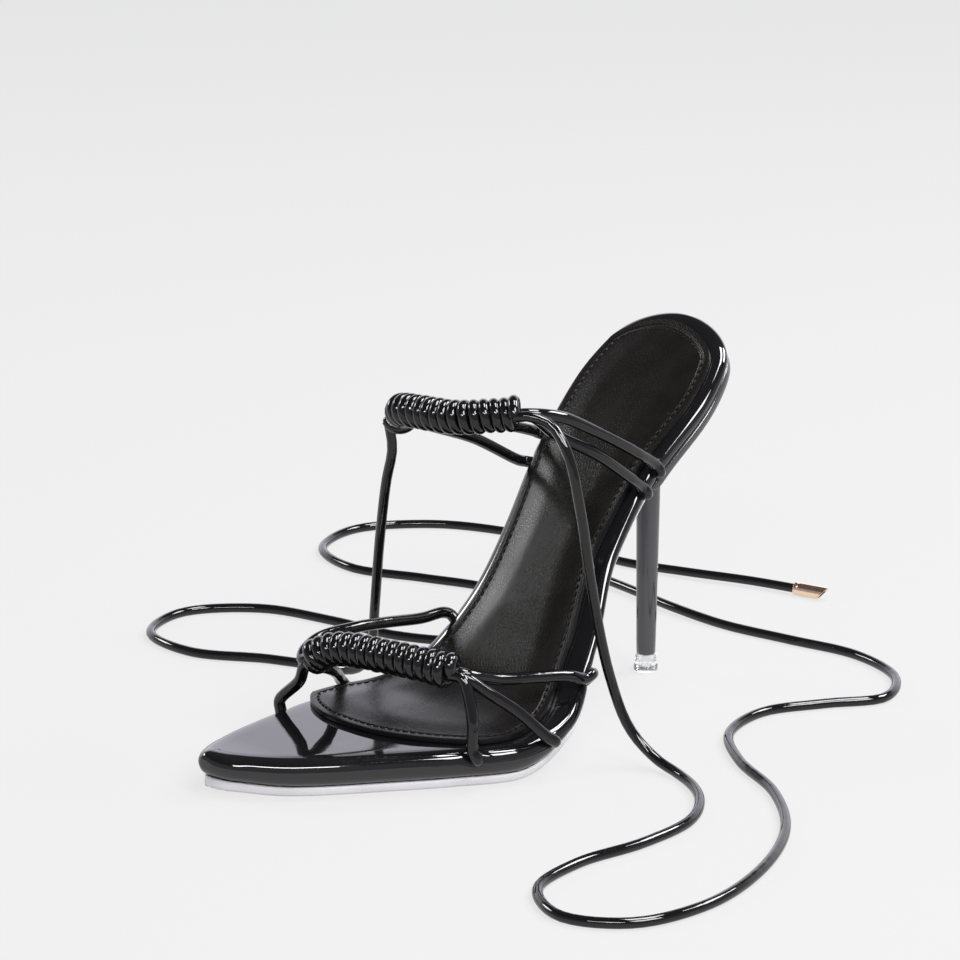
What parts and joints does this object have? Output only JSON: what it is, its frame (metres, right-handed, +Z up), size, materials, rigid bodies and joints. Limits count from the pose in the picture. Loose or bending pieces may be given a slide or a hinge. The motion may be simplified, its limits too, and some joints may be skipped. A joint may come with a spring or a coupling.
{
  "type": "lace up heeled sandal",
  "caption": "Black patent stiletto sandal with coil-wrapped cord straps over the toes and ankle, long cord ties with metal tips and a thin high heel.",
  "frame": {"origin": "middle of the shoe's footprint, on the floor, measured without the two ties and their tips", "axes": "+Z up; the toe points along -Y and the heel is at +Y; +X is the outer side of a left foot"},
  "size_m": [0.3295, 0.2773, 0.1187],
  "materials": {
    "patent": "black patent, mirror gloss",
    "sock": "black grained leather, satin",
    "outsole": "white with a faint lilac tone, satin",
    "heel_patent": "black patent wrap over a moulded heel, mirror gloss",
    "clear_tip": "clear hard plastic",
    "cord": "black rolled patent cord, glossy",
    "rose_gold": "polished rose gold plating"
  },
  "bodies": {
    "root": {"outsole": "outsole", "footbed": "patent", "insole": "sock", "heel": "heel_patent", "heel_tip": "clear_tip", "front_straps": "cord", "front_wrap": "cord", "ankle_straps": "cord", "ankle_wrap": "cord", "tie_lateral": "cord", "tie_medial": "cord", "tip_lateral": "rose_gold", "tip_medial": "rose_gold"}
  },
  "joints": []
}
